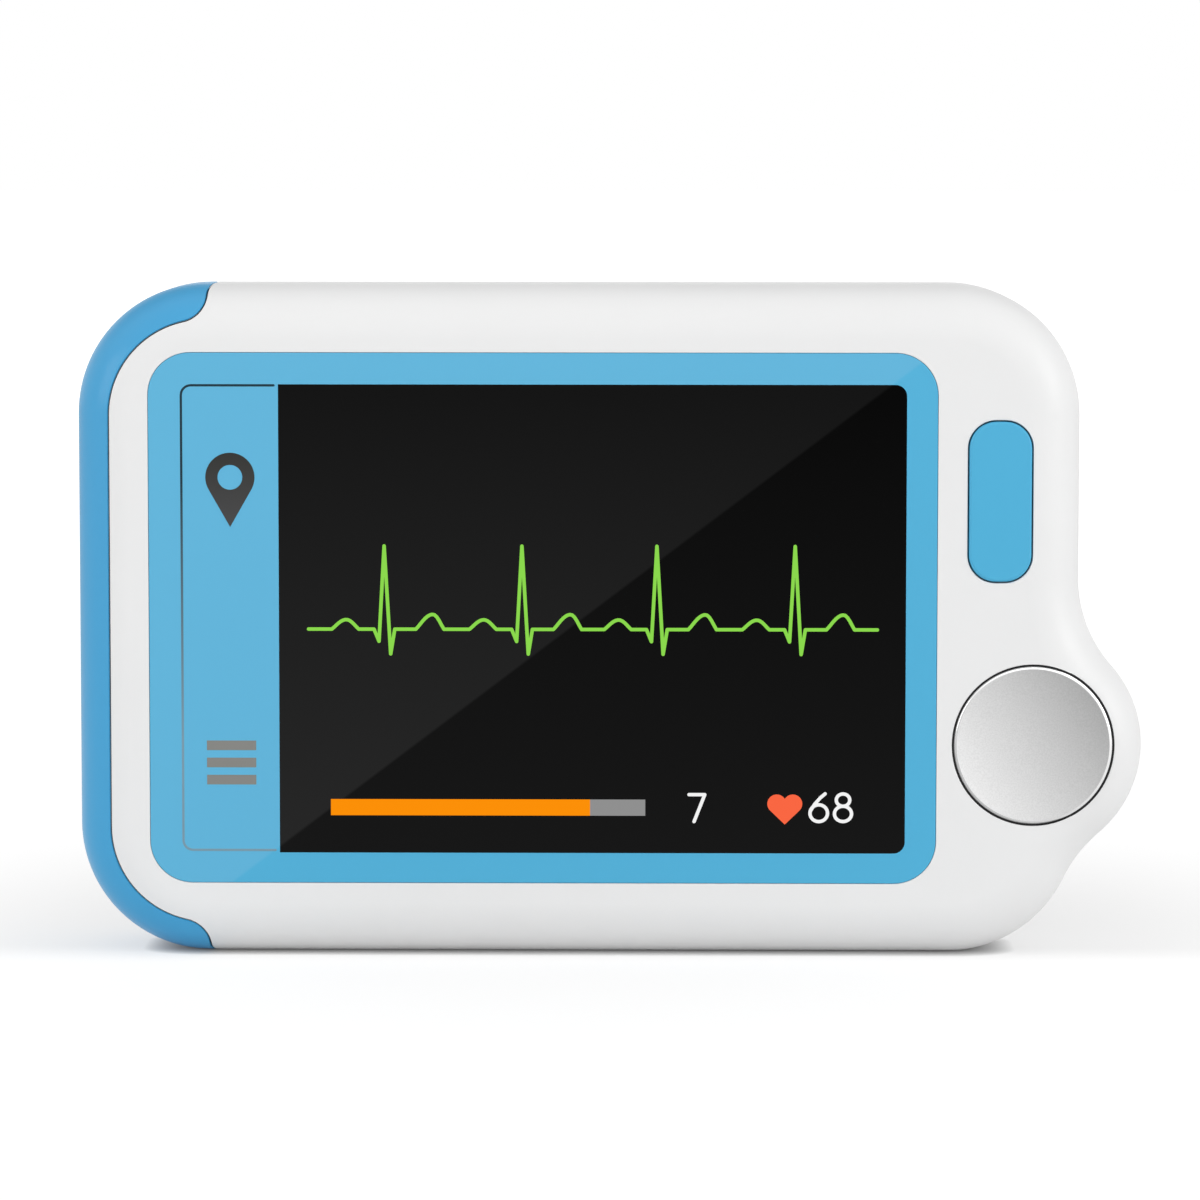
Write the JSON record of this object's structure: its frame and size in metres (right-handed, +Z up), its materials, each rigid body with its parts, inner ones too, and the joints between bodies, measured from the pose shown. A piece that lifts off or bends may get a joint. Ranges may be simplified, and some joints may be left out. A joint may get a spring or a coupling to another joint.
{
  "type": "ecg home monitor",
  "caption": "Hand-held heart monitor standing on its long edge, with a screen, a measuring button, steel thumb and finger electrodes and a bumper round one end.",
  "frame": {"origin": "middle of the lower edge, on which the monitor stands", "axes": "+X to the right as the screen is read, +Y from the screen to the back, +Z up"},
  "size_m": [0.0984, 0.0148, 0.062],
  "materials": {
    "case_white": "fine satin moulded ABS",
    "bumper_blue": "satin moulded plastic",
    "screw_steel": "zinc plated",
    "window_print": "clear acrylic printed on its back",
    "adhesive": "black double-sided tape",
    "film": "amber polyimide",
    "socket_plastic": "ivory nylon",
    "foam": "black foam",
    "frame_steel": "pressed steel",
    "light_guide": "clear acrylic",
    "cell_glass": "polarised glass",
    "chip_black": "moulded epoxy",
    "board_green": "solder resist",
    "shield_tin": "tinned steel",
    "socket_metal": "plated steel",
    "button_blue": "satin moulded plastic",
    "plunger_white": "moulded",
    "electrode_steel": "satin stainless steel",
    "contact_gold": "gold plated",
    "battery_foil": "laminated foil",
    "lead_red": "insulated flat lead"
  },
  "bodies": {
    "case": {"front_shell": "case_white", "rear_shell": "case_white", "end_cap": "bumper_blue", "case_screws": "screw_steel", "display_window": "window_print", "window_adhesive": "adhesive", "touch_key_film": "film", "touch_connector": "socket_plastic", "lcd_gasket": "foam", "lcd_frame": "frame_steel", "light_guide": "light_guide", "lcd_glass": "cell_glass", "lcd_driver_chip": "chip_black", "lcd_flex": "film", "flex_connector": "socket_plastic", "display_tape": "adhesive", "main_board": "board_green", "board_chips": "chip_black", "radio_shield": "shield_tin", "board_screws": "screw_steel", "usb_socket": "socket_metal", "buzzer": "chip_black", "switch_body": "chip_black", "front_electrode": "electrode_steel", "rear_electrode": "electrode_steel", "electrode_washers": "screw_steel", "front_contact_pin": "contact_gold", "rear_contact_pin": "contact_gold", "left_electrode": "electrode_steel", "left_contact_leaf": "contact_gold", "battery_cell": "battery_foil", "battery_pad": "adhesive", "battery_connector": "plunger_white", "battery_leads": "lead_red"},
    "button": {"measure_button": "button_blue", "switch_plunger": "plunger_white"}
  },
  "joints": [
    {"name": "button_press", "type": "slide", "parent": "case", "child": "button", "axis": [0, 1, 0], "range_m": [0, 0.0004], "stiffness_N_per_m": 500, "springref_m": -0.0002}
  ]
}
